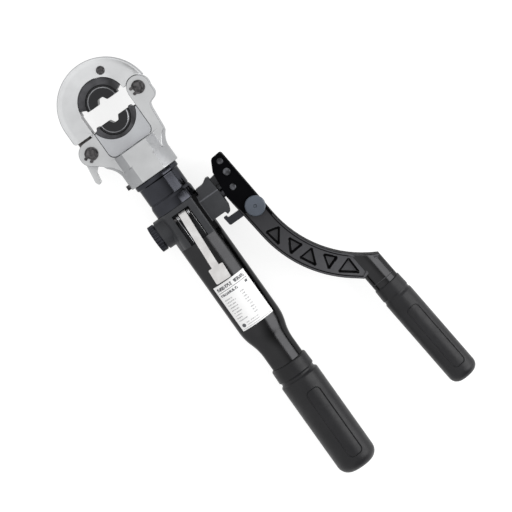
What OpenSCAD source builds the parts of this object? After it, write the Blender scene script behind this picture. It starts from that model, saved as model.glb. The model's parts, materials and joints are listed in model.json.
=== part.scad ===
// Hydraulic hand crimping tool, lying on its back.
// X runs across the tool, Y along the body towards the head, Z towards the front.
// The origin is the centre of the crimp, on the parting face of the upper die.

/* [Head] */
// Thickness of the jaw and of the yoke's arms
head_t = 34; // [32:1:38]
// Outer radius of the jaw
jaw_r = 53; // [51:0.5:55]
// Distance of the bow's centre below the crimp centre
bow_drop = 4.5; // [3:0.5:6]
// Rounding of the jaw's outer edges
jaw_edge = 7; // [3:0.5:9]
// Width of the throat between the yoke's arms
throat_w = 55.4; // [55:0.2:57]
// Depth of the throat's floor below the lower die's parting face
throat_depth = 37.5; // [36.5:0.5:40]
// Radius of the hinge ears
ear_r = 13; // [12.5:0.5:14]
// Distance of the hinge pin below the crimp centre
hinge_drop = 8.5; // [6:0.5:9.5]
// Radius of the hinge pin and of the latch pin
head_pin_r = 5.5; // [5:0.1:6]
// Thickness of the hinge tongue and of the latch
tongue_t = 13.8; // [12:0.2:15]
// Width of the right arm
arm_w = 11.5; // [10:0.5:13]
// Distance of the jaw's split line below the crimp centre
split_drop = 22; // [21.5:0.5:23]
// Outer radius of the yoke's collar
collar_r = 30.5; // [30:0.5:33]
// Radius of the flare from the collar into the arms
flare_r = 26; // [20:1:30]
// Height of the collar's straight part
collar_len = 14.5; // [12:0.5:16]
// Thickness of the collar across its flats
collar_t = 54; // [52:0.5:58]
// Width of the raised pad between the throat and the collar
pad_w = 31; // [24:1:32]
// Distance of the collar's lower face below the crimp centre
collar_drop = 96.5; // [96:0.5:100]

/* [Latch] */
// Radius of the latch boss on the left arm
boss_r = 14; // [13:0.5:15]
// Distance of the latch pin below the crimp centre
latch_drop = 38.5; // [38:0.5:41]
// Distance of the latch pin from the throat's wall
latch_reach = 14.8; // [14.2:0.1:17]
// Radius of the catch pin in the jaw
catch_r = 3; // [2.5:0.1:3.4]
// Height of the catch pin above the latch pin
catch_rise = 25; // [24:0.5:26]
// Length of the latch's finger tail below its pin
tail_len = 33; // [30:0.5:38]

/* [Dies] */
// Outer radius of the die adapters
adapter_r = 27; // [26.5:0.1:27.4]
// Thickness of the adapters
adapter_t = 32; // [28:1:32]
// Outer radius of the dies
die_r = 19; // [18:0.5:20]
// Radius of the raised face of a die
die_face_r = 15.5; // [14.5:0.5:16]
// Width of each flat of the hexagonal crimp
hex_flat = 6; // [4:0.5:8]
// Gap between the dies when the ram is back
die_gap = 20; // [18:0.5:21]
// Height of the lower adapter's centre above its parting face
low_sink = 4; // [1:0.5:4]
// Radius of the die release button
button_r = 4.4; // [3.5:0.1:5]

/* [Ram and cylinder] */
// Radius of the ram's rod
rod_r = 11; // [10:0.5:12]
// Radius of the cylinder's bore
bore_r = 17; // [16:0.5:18]
// Outer radius of the cylinder's neck inside the collar
neck_r = 24; // [23:0.5:25]
// Outer radius of the cylinder's flange below the collar
flange_r = 27; // [26:0.5:28]
// Outer radius of the cylinder's barrel
barrel_r = 25; // [24:0.2:25]
// Distance of the cylinder's lower face below the crimp centre
cylinder_drop = 138.5; // [136:0.5:142]
// Length of the piston
piston_len = 12; // [10:0.5:14]
// Diameter of the return spring's wire
spring_wire = 2.4; // [2:0.1:2.6]

/* [Valve block] */
// Length of the valve block along the body
block_len = 44.5; // [42:0.5:48]
// Half width of the block's raised front
front_half = 20; // [18:0.5:22]
// Height of the block's raised front above the tube
front_z = 1; // [0.5:0.5:2]
// Rounding of the block's left shoulder
shoulder_r = 14; // [8:0.5:16]
// Width of the slot for the release lever
slot_w = 22; // [20:0.5:24]
// Radius of the relief valve's boss
relief_r = 17; // [16.5:0.5:19]
// Radius of the relief valve's cap
cap_r = 16; // [14:0.5:17]
// Length of the cap
cap_len = 7; // [6:0.5:9]
// Length of the cap's screw
cap_screw_len = 12; // [8:0.5:14]
// Number of flutes round the cap
cap_flutes = 24; // [12:1:36]

/* [Pump] */
// Thickness of the pump housing
pump_t = 26; // [24:0.5:28]
// Fall of the housing's faces from its middle to its top
pump_fall = 3.5; // [1:0.5:5]
// Distance of the pump housing's end from the body's axis
pump_reach = 47; // [46:0.5:48]
// Radius of the pump plunger
plunger_r = 5; // [4:0.25:6]
// Radius of the pump's gland nut
gland_r = 8.5; // [8:0.25:9]
// Distance of the handle's fulcrum beyond the pump housing's end
fulcrum_x = 19; // [18:0.5:21]
// Distance of the fulcrum below the cylinder's lower face
fulcrum_drop = 0.5; // [0:0.5:1.5]
// Radius of the fulcrum pin
fulcrum_r = 4.2; // [3.6:0.1:4.4]
// Radius of the plunger pin
plunger_pin_r = 3.6; // [3:0.1:3.8]

/* [Release lever] */
// Width of the release lever
lever_w = 8.7; // [7:0.1:10]
// Thickness of the lever's strip
lever_t = 2.5; // [2:0.1:3]
// Length of the lever from its pin to the end of its tab
lever_len = 83; // [75:1:95]
// Side of the lever's square tab
tab_side = 18; // [14:0.5:22]
// Sideways lean of the lever on its pin
lever_lean = 3; // [0:0.5:4]
// Radius of the lever's pin
lever_pin_r = 2.5; // [2:0.1:2.8]

/* [Reservoir] */
// Outer radius of the reservoir tube
tube_r = 26; // [25.5:0.1:26]
// Length of the tube's straight part
tube_len = 110; // [105:1:125]
// Wall of the tube
tube_wall = 3; // [2.5:0.1:4]
// Outer radius of the tube's slim end
stem_r = 19.5; // [18.5:0.1:20]
// Length of the waist between the tube and its slim end
waist_len = 38; // [34:1:44]
// Length of the label plate
label_len = 57.5; // [50:0.5:60]
// Angle of the tube that the label plate covers
label_span = 97; // [80:1:110]
// Thickness of the label plate
label_t = 0.3; // [0.2:0.05:0.5]

/* [Fixed grip] */
// Outer radius of the fixed grip
grip_r = 23.4; // [23:0.1:25]
// Length of the fixed grip
grip_len = 142.5; // [135:0.5:155]
// Radius of the rounding at the grip's end
grip_end_r = 13; // [10:0.5:15]
// Length of the grip's recessed panel
panel_len = 88; // [70:1:92]
// Width of the grip's recessed panel
panel_w = 17; // [14:0.5:22]
// Depth of the grips' recessed panels
grip_panel_depth = 1.2; // [0.6:0.1:1.4]
// Turn of the grips' panels round them, away from the front
grip_panel_turn = 11; // [0:1:20]

/* [Handle] */
// Thickness of the handle arm
arm_t = 26; // [24:0.5:28]
// Depth of the arm's recessed sides
panel_depth = 1.2; // [0.8:0.1:2]
// Depth of the triangular pockets below the recessed sides
pocket_depth = 5; // [2:0.5:6]
// Inward slope of the pockets' walls over their depth
pocket_draft = 2.2; // [1:0.1:2.6]
// Width of the rim round the recessed sides
rim_w = 2.6; // [2:0.1:3.5]
// Radius of the lock knob
knob_r = 11.5; // [10:0.5:12]
// Outer radius of the handle tube
handle_tube_r = 15.2; // [14:0.1:16]
// Outer radius of the moving grip
handle_grip_r = 17.2; // [17:0.05:19]
// Length of the moving grip
handle_grip_len = 137; // [125:1:150]
// Length of the moving grip's recessed panel
handle_panel_len = 84; // [60:1:90]
// Width of the moving grip's recessed panel
handle_panel_w = 15; // [12:0.5:18]

/* [Fits] */
// Radial clearance of pins, plungers and other running fits
run_gap = 0.05; // [0.02:0.01:0.08]
// Clearance between sliding faces
slide_gap = 0.3; // [0.25:0.05:0.4]
// Clearance of pieces that are pushed or screwed together
seat_gap = 0.04; // [0.02:0.01:0.06]

/* [Hidden] */
$fn = 96;
through = 400;
slot_t = tongue_t + 2 * slide_gap;
throat_half = throat_w / 2;
hinge = [throat_half + slide_gap + ear_r, -hinge_drop];
latch_at = [-throat_half - latch_reach, -latch_drop];
jaw_wall = throat_half + 0.8;
wall_w = 3.6;
seat_r = adapter_r + slide_gap;
holder_half = throat_half - slide_gap;
throat_floor = -die_gap - throat_depth;
holder_top = -die_gap - 4;
holder_foot = throat_floor + 0.5;
low_centre = -die_gap + low_sink;
stub_r = rod_r - 3;
stub_top = holder_foot + 0.6 * (low_centre - adapter_r - holder_foot);
catch_at = [latch_at[0] + 5, latch_at[1] + catch_rise];
button_at = [18, 29.5];
clip_t = 1.2;
clip_z = head_t / 2 + slide_gap;
pin_half = clip_z + clip_t + 1.5;
swivel_screw_r = 2.8;
swivel_screw_y = -collar_drop + 4.2;
swivel_groove_r = neck_r - 1.6;
flare_y = -collar_drop + collar_len;

neck_top = -collar_drop + 17.5;
flange_top = -collar_drop - slide_gap;
cylinder_foot = -cylinder_drop;
bore_floor = cylinder_foot + 7.5;
piston_foot = bore_floor + slide_gap;
bush_len = 4;
spigot_r = 20;
spigot_len = 5;
curl_steps = 8;
spring_turns = 5;
spring_r = (rod_r + bore_r) / 2;
spring_top = neck_top - bush_len - slide_gap - spring_wire / 2;
spring_foot = piston_foot + piston_len + slide_gap + spring_wire / 2;

block_top = cylinder_foot;
block_foot = block_top - block_len;
relief_y = block_top - relief_r - slide_gap;
relief_reach = tube_r + 7.2;
cap_in = -relief_reach - 1.5;
cap_out = cap_in - cap_len;
cap_screw_r = cap_r - 4;
lever_pin_at = [block_top - 11.5, tube_r - 5];
slot_floor = tube_r - 12;
lever_press_at = 13;
lever_shift = 0.8;
release_pin_r = 3;
lever_wire = 1.1;
lever_coil_r = lever_pin_r + slide_gap + lever_wire / 2;
lever_coils = 1.75;
fulcrum = [pump_reach + fulcrum_x, block_top - fulcrum_drop];
crank = [-4, -17.5];
plunger_pin_at = fulcrum + crank;
plunger_y = plunger_pin_at[1];
pump_ear_r = 7.5;
rivet_r = 3.5;
rivet_at = fulcrum + [0.5, 13.6];
spindle_r = 4.5;
beak_x = pump_reach - 7.4;
beak_foot = plunger_y - 17.5;

tube_foot = block_foot - tube_len;
stem_top = tube_foot - waist_len;
cavity_foot = tube_foot - 3;
grip_top = stem_top - 18;
grip_foot = grip_top - grip_len;

knob_at = fulcrum + [4, -48.3];
fork_len = 60;
arm_top = [6.8, 21.8];
arm_bend = [21.7, -135.9];
arm_bend_r = 130;
arm_tip_right = [84.9, -169.6];
arm_tip_left = [55.5, -183];
arm_end = fulcrum + (arm_tip_right + arm_tip_left) / 2;
grip_lean = 5.8;
grip_start = 25;
socket_len = grip_start - 6;
socket_step = 0.6;

// Unit vector of v
function unit(v) = v / norm(v);

// Points of one corner q between p and s, rounded by the radius q[2]
function corner(p, q, s, steps) =
    q[2] == 0 ? [[q[0], q[1]]] :
    let (
        o = [q[0], q[1]],
        a = unit([p[0], p[1]] - o),
        b = unit([s[0], s[1]] - o),
        half = acos(a * b) / 2,
        c = o + unit(a + b) * q[2] / sin(half),
        from = o + a * q[2] / tan(half) - c,
        turn = (180 - 2 * half) * sign(a[0] * b[1] - a[1] * b[0]) * -1
    )
    [for (i = [0:steps])
        let (t = turn * i / steps)
        c + [from[0] * cos(t) - from[1] * sin(t), from[0] * sin(t) + from[1] * cos(t)]];

// Outline through points [x, y, corner radius]
function rounded(pts, steps = 8) =
    let (n = len(pts))
    [for (i = [0:n - 1]) each corner(pts[(i + n - 1) % n], pts[i], pts[(i + 1) % n], steps)];

// Same outline drawn in by d, for points that run clockwise
function inset(pts, d) =
    let (n = len(pts))
    [for (i = [0:n - 1])
        let (
            p = pts[(i + n - 1) % n],
            q = pts[i],
            s = pts[(i + 1) % n],
            a = unit([q[0] - p[0], q[1] - p[1]]),
            b = unit([s[0] - q[0], s[1] - q[1]]),
            m = [a[1], -a[0]],
            k = [b[1], -b[0]],
            bend = a[0] * b[1] - a[1] * b[0],
            move = (m + k) * d / (1 + m * k)
        )
        [q[0] + move[0], q[1] + move[1], max(q[2] + sign(bend) * d, 1)]];

// Faces of a tube of rings, each with the given number of sides
function tube_faces(rings, sides) = concat(
    [for (i = [0:rings - 2], j = [0:sides - 1])
        let (k = (j + 1) % sides)
        each [
            [i * sides + j, (i + 1) * sides + k, i * sides + k],
            [i * sides + j, (i + 1) * sides + j, (i + 1) * sides + k]
        ]],
    [for (j = [1:sides - 2]) [0, j, j + 1]],
    [for (j = [1:sides - 2]) let (e = (rings - 1) * sides) [e, e + j + 1, e + j]]);

// Points of a tube along a path that stays nearly square to the given axis
function tube_points(path, r, axis, sides) =
    let (n = len(path))
    [for (i = [0:n - 1])
        let (
            t = unit(path[min(i + 1, n - 1)] - path[max(i - 1, 0)]),
            u = unit(cross(t, axis)),
            v = cross(t, u)
        )
        for (j = [0:sides - 1]) path[i] + r * (u * cos(360 * j / sides) + v * sin(360 * j / sides))];

// Least gap of a wire to itself, between points at least a number of steps apart
function wire_gap(path, wire, steps) =
    min([for (i = [0:len(path) - 1 - steps], j = [i + steps:len(path) - 1]) norm(path[i] - path[j])]) - wire;

module wire_tube(path, wire, axis, sides = 6) {
    polyhedron(tube_points(path, wire / 2, axis, sides), tube_faces(len(path), sides));
}

module at(p) {
    translate([p[0], p[1], 0]) children();
}

module slab(t) {
    translate([0, 0, -t / 2]) linear_extrude(t) children();
}

module rod_x(r, x0, x1) {
    translate([x0, 0, 0]) rotate([0, 90, 0]) cylinder(r = r, h = x1 - x0);
}

module rod_y(r, y0, y1) {
    translate([0, y0, 0]) rotate([-90, 0, 0]) cylinder(r = r, h = y1 - y0);
}

module rod_z(r, z0, z1) {
    translate([0, 0, z0]) cylinder(r = r, h = z1 - z0);
}

// Solid turned about the body's axis from a profile of radius and Y
module turned() {
    rotate([-90, 0, 0]) rotate_extrude() children();
}

// Bar along Y with a cross-section in X and Z
module bar_y(y_top, length) {
    translate([0, y_top, 0]) rotate([90, 0, 0]) linear_extrude(length) children();
}

// Bar along X with a side profile in Y and Z, centred on the given width
module bar_x(width) {
    translate([-width / 2, 0, 0]) rotate([90, 0, 90]) linear_extrude(width) children();
}

module half_plane(y) {
    translate([-through / 2, y]) square([through, through]);
}

// Head

// Front outline of the yoke: throat, hinge arm, latch arm and the root that runs into the collar
function yoke_points() =
    let (arm = throat_half + arm_w, latch_side = latch_at[0] + 3.5)
    [
        [-throat_half, -split_drop - 0.4, 0.5],
        [-throat_half, throat_floor, 8],
        [throat_half, throat_floor, 8],
        [throat_half, hinge[1], 0],
        [hinge[0], hinge[1], 0],
        [hinge[0] + 0.9 * ear_r, hinge[1], 0],
        [hinge[0] + ear_r - 0.4, hinge[1] - 17.5, 8.5],
        [arm + 2, hinge[1] - 21.5, 4],
        [arm + 0.6, hinge[1] - 28, 10],
        [arm - 3, flare_y, 0],
        [latch_side, flare_y, 0],
        [latch_side, throat_floor - 0.5, 6],
        [latch_at[0] - boss_r * sin(25), latch_at[1] - boss_r * cos(25), 0],
        [latch_at[0], latch_at[1], 0],
        [latch_at[0], latch_at[1] + boss_r, 0],
        [-throat_half - wall_w, latch_at[1] + boss_r, 0],
        [-throat_half - wall_w, -split_drop - 0.4, 0.5]
    ];

module collar_blank() {
    intersection() {
        turned() polygon([
            [0, -collar_drop],
            [collar_r - 0.6, -collar_drop],
            [collar_r, -collar_drop + 0.6],
            [collar_r, -collar_drop + 20],
            [collar_t / 2 - 2, throat_floor - 4],
            [0, throat_floor - 4]
        ]);
        slab(collar_t) square(through, center = true);
    }
}

// Turned space that draws the arms in to the collar
module yoke_flare() {
    start_r = collar_r - slide_gap;
    turned() difference() {
        translate([0, flare_y - 1]) square(through);
        translate([start_r + flare_r, flare_y]) circle(flare_r);
        translate([start_r, flare_y - 2]) square([through, 2]);
    }
}

// Raised pad on both faces between the throat and the collar
module yoke_pad() {
    flank = (collar_t - head_t) / 2;
    pad_half = pad_w / 2;
    bar_y(throat_floor, 18) polygon([
        [-pad_half, -collar_t / 2],
        [pad_half, -collar_t / 2],
        [pad_half + flank, -head_t / 2],
        [pad_half + flank, head_t / 2],
        [pad_half, collar_t / 2],
        [-pad_half, collar_t / 2],
        [-pad_half - flank, head_t / 2],
        [-pad_half - flank, -head_t / 2]
    ]);
}

module head_yoke() color("silver") difference() {
    union() {
        intersection() {
            slab(head_t) union() {
                polygon(rounded(yoke_points()));
                at(hinge) circle(ear_r);
                at(latch_at) circle(boss_r);
            }
            yoke_flare();
        }
        yoke_pad();
        collar_blank();
    }
    at(hinge) rod_z(head_pin_r + seat_gap, -through, through);
    at(latch_at) rod_z(head_pin_r + seat_gap, -through, through);
    at(hinge) rod_z(ear_r + 2 * slide_gap, -slot_t / 2, slot_t / 2);
    slab(slot_t) translate([-through / 2 - throat_half - wall_w, throat_floor - 6])
        square([through / 2, through]);
    rod_y(rod_r + run_gap, -through, 0);
    rod_y(neck_r + run_gap, -through, neck_top + slide_gap);
    translate([0, swivel_screw_y, 0]) rod_x(swivel_screw_r + seat_gap, -through, 0);
}

module swivel_screw() color("dimgray") translate([0, swivel_screw_y, 0]) difference() {
    union() {
        rod_x(swivel_screw_r, -collar_r - 3.6, -neck_r - slide_gap);
        rod_x(1.8, -neck_r - slide_gap, -swivel_groove_r - slide_gap);
    }
    rod_x(1.5, -collar_r - 4, -collar_r - 1, $fn = 6);
}

// Pin with a snap ring groove near each end
module grooved_pin() {
    difference() {
        rotate_extrude() polygon([
            [0, -pin_half],
            [head_pin_r - 0.6, -pin_half],
            [head_pin_r, -pin_half + 0.6],
            [head_pin_r, pin_half - 0.6],
            [head_pin_r - 0.6, pin_half],
            [0, pin_half]
        ]);
        for (side = [-1, 1])
            translate([0, 0, side * (clip_z + clip_t / 2)]) difference() {
                rod_z(head_pin_r + 1, -clip_t / 2 - seat_gap, clip_t / 2 + seat_gap);
                rod_z(head_pin_r - 0.8, -clip_t, clip_t);
            }
    }
}

module hinge_pin() color("dimgray") at(hinge) grooved_pin();

module latch_pin() color("dimgray") at(latch_at) grooved_pin();

// Open snap ring with two lugs
module snap_ring(gap_angle) {
    inner = head_pin_r - 0.8 + seat_gap;
    outer = head_pin_r + 2.1;
    rotate([0, 0, gap_angle]) linear_extrude(clip_t) difference() {
        union() {
            circle(outer);
            for (side = [-1, 1])
                translate([outer - 0.2, side * 3.3]) circle(1.9);
        }
        circle(inner);
        translate([0, -1.6]) square([outer + 4, 3.2]);
    }
}

module pin_clips() color("dimgray") {
    for (side = [0, 1]) {
        z = side == 0 ? clip_z : -clip_z - clip_t;
        at(hinge) translate([0, 0, z]) snap_ring(185);
        at(latch_at) translate([0, 0, z]) snap_ring(212);
    }
}

module jaw_outline() {
    difference() {
        union() {
            intersection() {
                translate([0, -bow_drop]) circle(jaw_r);
                union() {
                    half_plane(0);
                    translate([-jaw_wall - through, -bow_drop]) square(through);
                }
            }
            polygon(rounded([
                [-jaw_r, -bow_drop, 0],
                [-jaw_r, -split_drop, 4],
                [-jaw_wall, -split_drop, 0.5],
                [-jaw_wall, -bow_drop, 0]
            ]));
        }
        circle(seat_r);
    }
}

// Half section of the jaw from its middle to its rounded outer edges
module jaw_section() {
    polygon(rounded([
        [0, head_t / 2, 0],
        [jaw_r, head_t / 2, jaw_edge],
        [jaw_r, -head_t / 2, jaw_edge],
        [0, -head_t / 2, 0]
    ], 6));
}

// Turned blank for the bow, with a straight one for the leg
module jaw_blank() {
    translate([0, -bow_drop, 0]) {
        intersection() {
            rotate_extrude() jaw_section();
            slab(through) half_plane(0);
        }
        bar_y(0, split_drop - bow_drop) mirror([1, 0]) jaw_section();
    }
}

module upper_jaw() color("silver") difference() {
    union() {
        intersection() {
            slab(head_t) difference() {
                jaw_outline();
                at(hinge) circle(ear_r + 0.4);
            }
            jaw_blank();
        }
        slab(tongue_t) union() {
            jaw_outline();
            at(hinge) circle(ear_r);
        }
    }
    at(hinge) rod_z(head_pin_r + run_gap, -through, through);
    slab(slot_t) translate([-through / 2 + catch_at[0] + 4.5, -through / 2 + catch_at[1] + 11])
        square([through / 2, through / 2]);
    at(catch_at) rod_z(catch_r + seat_gap, -slot_t / 2 - 6, slot_t / 2 + 6);
    at(button_at) rod_z(button_r + run_gap, 0, through);
}

module catch_pin() color("dimgray") at(catch_at) rod_z(catch_r, -slot_t / 2 - 5.8, slot_t / 2 + 5.8);

// Sliding button with a domed front
module die_button() color("dimgray") at(button_at) rotate_extrude() polygon([
    [0, 3],
    [button_r - 0.5, 3],
    [button_r, 3.5],
    [button_r, head_t / 2 + 1.4],
    [button_r - 1, head_t / 2 + 2.2],
    [0, head_t / 2 + 2.5]
]);

module latch() color("silver") at(latch_at) difference() {
    union() {
        rod_z(boss_r - 4, -tongue_t / 2, tongue_t / 2);
        slab(tongue_t) polygon(rounded([
            [-7, 0, 0],
            [-7, 33.5, 2],
            [0.8, 33.5, 1.5],
            [0.8, catch_rise + catch_r + 0.4, 0.8],
            [-1.3, catch_rise + catch_r + 0.4, 0],
            [-1.3, 17.4, 0],
            [9, 17.4, 1],
            [9, 0, 0]
        ]));
        slab(tongue_t) polygon(rounded([
            [-7, 8, 0],
            [-12.5, -6, 8],
            [-15.8, -tail_len + 4.5, 3],
            [-13.4, -tail_len, 2],
            [-9.9, -tail_len + 1.6, 2],
            [-8.2, -20, 8],
            [4, -9, 0]
        ]));
    }
    rod_z(head_pin_r + run_gap, -through, through);
}

// Dies

// Half of a hexagonal crimp below the parting face
module hex_notch() {
    depth = hex_flat * sin(60);
    polygon([
        [-hex_flat, -1],
        [-hex_flat, 0],
        [-hex_flat / 2, depth],
        [hex_flat / 2, depth],
        [hex_flat, 0],
        [hex_flat, -1]
    ]);
}

module die() {
    face_z = head_t / 2 - 0.5;
    body_z = face_z - 2;
    difference() {
        rotate_extrude() polygon([
            [0, -face_z],
            [die_face_r, -face_z],
            [die_face_r + 2, -body_z],
            [die_r, -body_z],
            [die_r, body_z],
            [die_face_r + 2, body_z],
            [die_face_r, face_z],
            [0, face_z]
        ]);
        slab(through) translate([-through / 2, -through]) square([through, through]);
        slab(through) hex_notch();
    }
}

module upper_die() color("#2b2b2d") die();

module lower_die() color("#2b2b2d") translate([0, -die_gap, 0]) mirror([0, 1, 0]) die();

module upper_adapter() color("#343436") slab(adapter_t) difference() {
    intersection() {
        circle(adapter_r);
        polygon([
            [-through, through],
            [-through, 5],
            [-adapter_r + 1.5, 5],
            [-die_r - 0.6, 2.2],
            [-die_r - 0.4, 0.2],
            [die_r + 0.4, 0.2],
            [die_r + 0.6, 2.2],
            [adapter_r - 1.5, 5],
            [through, 5],
            [through, through]
        ]);
    }
    circle(die_r + seat_gap);
}

module lower_adapter() color("#343436") slab(adapter_t) {
    difference() {
        intersection() {
            translate([0, low_centre]) circle(adapter_r);
            translate([0, -die_gap]) mirror([0, 1]) polygon([
                [-through, through],
                [-through, 2],
                [-die_r - 4.5, 2],
                [-die_r - 3, -1.2],
                [-die_r - 0.8, -1.2],
                [-die_r - 0.5, 0.2],
                [die_r + 0.5, 0.2],
                [die_r + 0.8, -1.2],
                [die_r + 3, -1.2],
                [die_r + 4.5, 2],
                [through, 2],
                [through, through]
            ]);
        }
        translate([0, -die_gap]) circle(die_r + seat_gap);
    }
}

module die_holder() color("darkgray") difference() {
    slab(head_t - 1) difference() {
        polygon(rounded([
            [-holder_half, holder_top, 0.8],
            [holder_half, holder_top, 0.8],
            [holder_half, holder_foot, 8],
            [-holder_half, holder_foot, 8]
        ]));
        translate([0, low_centre]) circle(adapter_r + seat_gap);
    }
    rod_y(stub_r + seat_gap, -through, stub_top + slide_gap);
}

// Ram and cylinder

module ram() color("lightgray") difference() {
    turned() polygon([
        [0, piston_foot],
        [bore_r - run_gap - 1, piston_foot],
        [bore_r - run_gap, piston_foot + 1],
        [bore_r - run_gap, piston_foot + piston_len],
        [rod_r, piston_foot + piston_len],
        [rod_r, holder_foot],
        [stub_r, holder_foot],
        [stub_r, stub_top],
        [0, stub_top]
    ]);
    turned() translate([bore_r - 2.5, piston_foot + 4]) square([4, 4]);
}

module piston_seal() color("#202020") turned()
    translate([bore_r - 2.5 + seat_gap, piston_foot + 4 + seat_gap])
    square([2.5 - seat_gap - run_gap, 4 - 2 * seat_gap]);

// Centre line of the return spring's curls
function ram_spring_path() = [for (i = [0:spring_turns * curl_steps])
    let (a = 360 * i / curl_steps, t = i / (spring_turns * curl_steps))
    [spring_r * cos(a), spring_foot + (spring_top - spring_foot) * t, spring_r * sin(a)]];

module ram_spring() color("lightgray") {
    echo(ram_spring_gap = wire_gap(ram_spring_path(), spring_wire, curl_steps - 2));
    wire_tube(ram_spring_path(), spring_wire, [0, 1, 0]);
}

module ram_cylinder() color("#37373a") difference() {
    turned() polygon([
        [0, cylinder_foot],
        [tube_r, cylinder_foot],
        [tube_r, cylinder_foot + 10.5],
        [barrel_r, cylinder_foot + 13.5],
        [barrel_r, flange_top - 6.5],
        [flange_r, flange_top - 5],
        [flange_r, flange_top - 0.6],
        [flange_r - 0.6, flange_top],
        [neck_r, flange_top],
        [neck_r, neck_top],
        [0, neck_top]
    ]);
    rod_y(bore_r, bore_floor, 0);
    rod_y(2, -through, 0);
    rod_y(spigot_r + seat_gap, -through, cylinder_foot + spigot_len);
    turned() translate([swivel_groove_r, swivel_screw_y - 2.1]) square([4, 4.2]);
    turned() translate([barrel_r - 0.6, cylinder_foot + 14]) square([2, 1.2]);
}

module ram_bush() color("peru") turned()
    translate([rod_r + run_gap, neck_top - bush_len])
    square([bore_r - rod_r - run_gap - seat_gap, bush_len]);

// Valve block and pump

module block_section() {
    circle(tube_r);
    polygon(rounded([
        [-front_half - 1, 0, 0],
        [-front_half - 1, tube_r + front_z, shoulder_r],
        [front_half, tube_r + front_z, 3],
        [front_half, 0, 0]
    ]));
}

// Front outline of the pump housing, with the beak that the lock hooks on
function pump_points() =
    [
        [0, block_top - 4, 0],
        [tube_r + 0.5, block_top - 4, 0],
        [tube_r + 0.5, block_top + 2.6, 0.6],
        [pump_reach - 11, block_top + 3, 8],
        [pump_reach - 5, block_top + 7, 3],
        [pump_reach - 1.5, block_top + 6.4, 1.5],
        [pump_reach, block_top - 8, 0],
        [pump_reach, beak_foot + 4, 3],
        [pump_reach - 2.5, beak_foot - 2.5, 1.5],
        [beak_x + 0.8, beak_foot - 3.8, 0.8],
        [beak_x, beak_foot, 0],
        [0, beak_foot, 0]
    ];

// Side view of the housing, whose upper half draws in towards the top
module pump_side() {
    crease = block_top - 10.8;
    half = pump_t / 2;
    top = block_top + 8;
    polygon([
        [crease - through, -half],
        [crease, -half],
        [top, -half + pump_fall],
        [top, half - pump_fall],
        [crease, half],
        [crease - through, half]
    ]);
}

module valve_block() color("#2f2f32") difference() {
    union() {
        bar_y(block_top, block_len) block_section();
        rod_y(spigot_r, block_top - 1, block_top + spigot_len - slide_gap);
        rod_y(tube_r - tube_wall - seat_gap, block_foot - 8, block_foot + 1);
        translate([0, relief_y, 0]) rod_x(relief_r, -relief_reach, 0);
        intersection() {
            slab(pump_t) polygon(rounded(pump_points()));
            bar_x(through) pump_side();
        }
        slab(tongue_t) union() {
            polygon([
                [pump_reach - 6, block_top + 2],
                fulcrum + [-1, pump_ear_r],
                fulcrum + [-1, -pump_ear_r],
                [pump_reach - 6, fulcrum[1] - pump_ear_r]
            ]);
            at(fulcrum) circle(pump_ear_r);
        }
    }
    at(fulcrum) rod_z(fulcrum_r + run_gap, -through, through);
    translate([0, plunger_y, 0]) rod_x(plunger_r + run_gap, front_half, through);
    translate([0, plunger_y, 0]) rod_x(gland_r + seat_gap, pump_reach - 7, through);
    translate([0, plunger_y, 0]) rod_x(plunger_r + 2.5, pump_reach - 10.5, pump_reach - 6);
    translate([-slot_w / 2, block_foot - 1, slot_floor])
        cube([slot_w, lever_pin_at[0] + 5.5 - block_foot + 1, through]);
    translate([0, lever_pin_at[0], lever_pin_at[1]]) rod_x(lever_pin_r + seat_gap, -16, 16);
    translate([0, lever_pin_at[0] - lever_press_at, 0]) rod_z(release_pin_r + run_gap, 2, through);
    rod_y(2, -through, 0);
    translate([0, relief_y, 0]) rod_x(cap_screw_r + seat_gap, cap_in, cap_in + cap_screw_len + 0.5);
}

module relief_cap() color("#2a2a2c") translate([0, relief_y, 0]) difference() {
    union() {
        rod_x(cap_r, cap_out, cap_in);
        rod_x(cap_screw_r, cap_in - 1, cap_in + cap_screw_len);
        rod_x(cap_r - 1.5, cap_in - 1, -relief_reach);
    }
    for (i = [0:cap_flutes - 1])
        rotate([360 * i / cap_flutes, 0, 0]) translate([0, cap_r + 0.4, 0])
            rod_x(1.1, cap_out - 1, cap_in - 1);
    rod_x(5, cap_out - 1, cap_out + 2, $fn = 6);
}

module pump_gland() color("darkgray") translate([0, plunger_y, 0]) difference() {
    rod_x(gland_r, pump_reach - 6.9, pump_reach + 0.4);
    rod_x(plunger_r + run_gap, 0, through);
    for (a = [45:90:315])
        rotate([a, 0, 0]) translate([0, (plunger_r + gland_r) / 2, 0])
            rod_x(0.9, pump_reach - 2, pump_reach + 1);
}

module plunger_seal() color("#202020") translate([0, plunger_y, 0]) difference() {
    rod_x(plunger_r + 2.5 - seat_gap, pump_reach - 10.4, pump_reach - 7);
    rod_x(plunger_r + run_gap, 0, through);
}

// Plunger with a slotted eye that lets the pin rise and fall
module pump_plunger() color("lightgray") {
    slack = 0.6;
    rise = 3.5;
    slot_half = plunger_pin_r + slack;
    eye_half = slot_half + 4.3;
    slot_low = plunger_y - 0.8 - plunger_pin_r;
    slot_high = slot_low + 2 * plunger_pin_r + rise;
    difference() {
        union() {
            translate([0, plunger_y, 0]) rod_x(plunger_r, front_half + 4, plunger_pin_at[0] - eye_half + 1);
            slab(tongue_t) polygon(rounded([
                [plunger_pin_at[0] - eye_half, slot_low - 3.5, 3],
                [plunger_pin_at[0] + eye_half, slot_low - 3.5, 3],
                [plunger_pin_at[0] + eye_half, slot_high + 3.2, 3],
                [plunger_pin_at[0] - eye_half, slot_high + 3.2, 3]
            ]));
        }
        slab(through) translate([plunger_pin_at[0] - slot_half, slot_low])
            square([2 * slot_half, slot_high - slot_low]);
    }
}

// Release lever

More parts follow.
